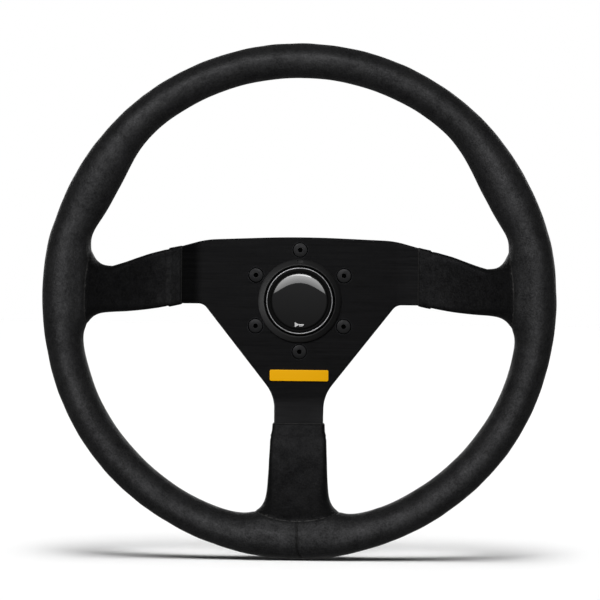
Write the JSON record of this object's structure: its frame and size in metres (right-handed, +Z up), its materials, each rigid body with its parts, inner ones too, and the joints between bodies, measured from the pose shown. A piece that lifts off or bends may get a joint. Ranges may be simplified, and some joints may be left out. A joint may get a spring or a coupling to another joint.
{
  "type": "quick release steering wheel",
  "caption": "Round three-spoke motorsport steering wheel with a suede grip, thumb rests, a sprung horn button and the wheel half of a ball-lock quick release hub.",
  "frame": {"origin": "on the steering axis, at the rear face of the quick release hub, where the column's splined shaft goes in", "axes": "+X to the driver's right, +Z up, +Y along the steering axis away from the driver, towards the column"},
  "size_m": [0.35, 0.095, 0.35],
  "materials": {
    "anodised_plate": "black anodised, brushed lengthwise",
    "anodised_hub": "black anodised, turned",
    "aluminium": "clear anodised, turned",
    "steel": "ground",
    "steel_black": "black oxide",
    "suede": "napped suede",
    "rim_foam": "moulded polyurethane foam",
    "matte_black": "moulded, satin",
    "gloss_black": "gloss",
    "trim_silver": "bright",
    "brass": "plain",
    "badge_yellow": "satin, bevelled edges"
  },
  "bodies": {
    "wheel": {"spoke_plate": "anodised_plate", "rim_core": "aluminium", "badge_bar": "badge_yellow", "rim_foam": "rim_foam", "rim_cover": "suede", "left_spoke_sleeve": "suede", "right_spoke_sleeve": "suede", "lower_spoke_sleeve": "suede", "horn_surround": "matte_black", "horn_housing": "matte_black", "horn_spring": "steel", "horn_terminal_1": "brass", "horn_terminal_2": "brass", "release_hub": "anodised_hub", "release_spring": "steel", "retaining_ring": "steel", "rim_rivet_1": "aluminium", "plate_screw_1": "steel_black", "rim_rivet_2": "aluminium", "plate_screw_2": "steel_black", "rim_rivet_3": "aluminium", "plate_screw_3": "steel_black", "rim_rivet_4": "aluminium", "plate_screw_4": "steel_black", "rim_rivet_5": "aluminium", "plate_screw_5": "steel_black", "rim_rivet_6": "aluminium", "plate_screw_6": "steel_black"},
    "horn_button": {"horn_cap": "gloss_black", "horn_lens": "gloss_black", "horn_trim_ring": "trim_silver", "horn_contact_disc": "brass"},
    "collar": {"release_collar": "aluminium"},
    "ball_1": {"lock_ball_1": "steel"},
    "ball_2": {"lock_ball_2": "steel"},
    "ball_3": {"lock_ball_3": "steel"},
    "ball_4": {"lock_ball_4": "steel"},
    "ball_5": {"lock_ball_5": "steel"},
    "ball_6": {"lock_ball_6": "steel"}
  },
  "joints": [
    {"name": "horn_press", "type": "slide", "parent": "wheel", "child": "horn_button", "axis": [0, 1, 0], "range_m": [0, 0.002], "stiffness_N_per_m": 900, "springref_m": -0.003, "deforming": ["horn_spring"]},
    {"name": "collar_pull", "type": "slide", "parent": "wheel", "child": "collar", "axis": [0, -1, 0], "range_m": [0, 0.007], "stiffness_N_per_m": 1500, "springref_m": -0.004, "deforming": ["release_spring"]},
    {"name": "ball_1_out", "type": "slide", "parent": "wheel", "child": "ball_1", "axis": [1, 0, 0], "range_m": [0, 0.0015]},
    {"name": "ball_2_out", "type": "slide", "parent": "wheel", "child": "ball_2", "axis": [0.5, 0, 0.866], "range_m": [0, 0.0015]},
    {"name": "ball_3_out", "type": "slide", "parent": "wheel", "child": "ball_3", "axis": [-0.5, 0, 0.866], "range_m": [0, 0.0015]},
    {"name": "ball_4_out", "type": "slide", "parent": "wheel", "child": "ball_4", "axis": [-1, 0, 0], "range_m": [0, 0.0015]},
    {"name": "ball_5_out", "type": "slide", "parent": "wheel", "child": "ball_5", "axis": [-0.5, 0, -0.866], "range_m": [0, 0.0015]},
    {"name": "ball_6_out", "type": "slide", "parent": "wheel", "child": "ball_6", "axis": [0.5, 0, -0.866], "range_m": [0, 0.0015]}
  ],
  "couplings": [
    {"joint": "ball_1_out", "follows": "collar_pull", "ratio": 0.2},
    {"joint": "ball_2_out", "follows": "collar_pull", "ratio": 0.2},
    {"joint": "ball_3_out", "follows": "collar_pull", "ratio": 0.2},
    {"joint": "ball_4_out", "follows": "collar_pull", "ratio": 0.2},
    {"joint": "ball_5_out", "follows": "collar_pull", "ratio": 0.2},
    {"joint": "ball_6_out", "follows": "collar_pull", "ratio": 0.2}
  ]
}
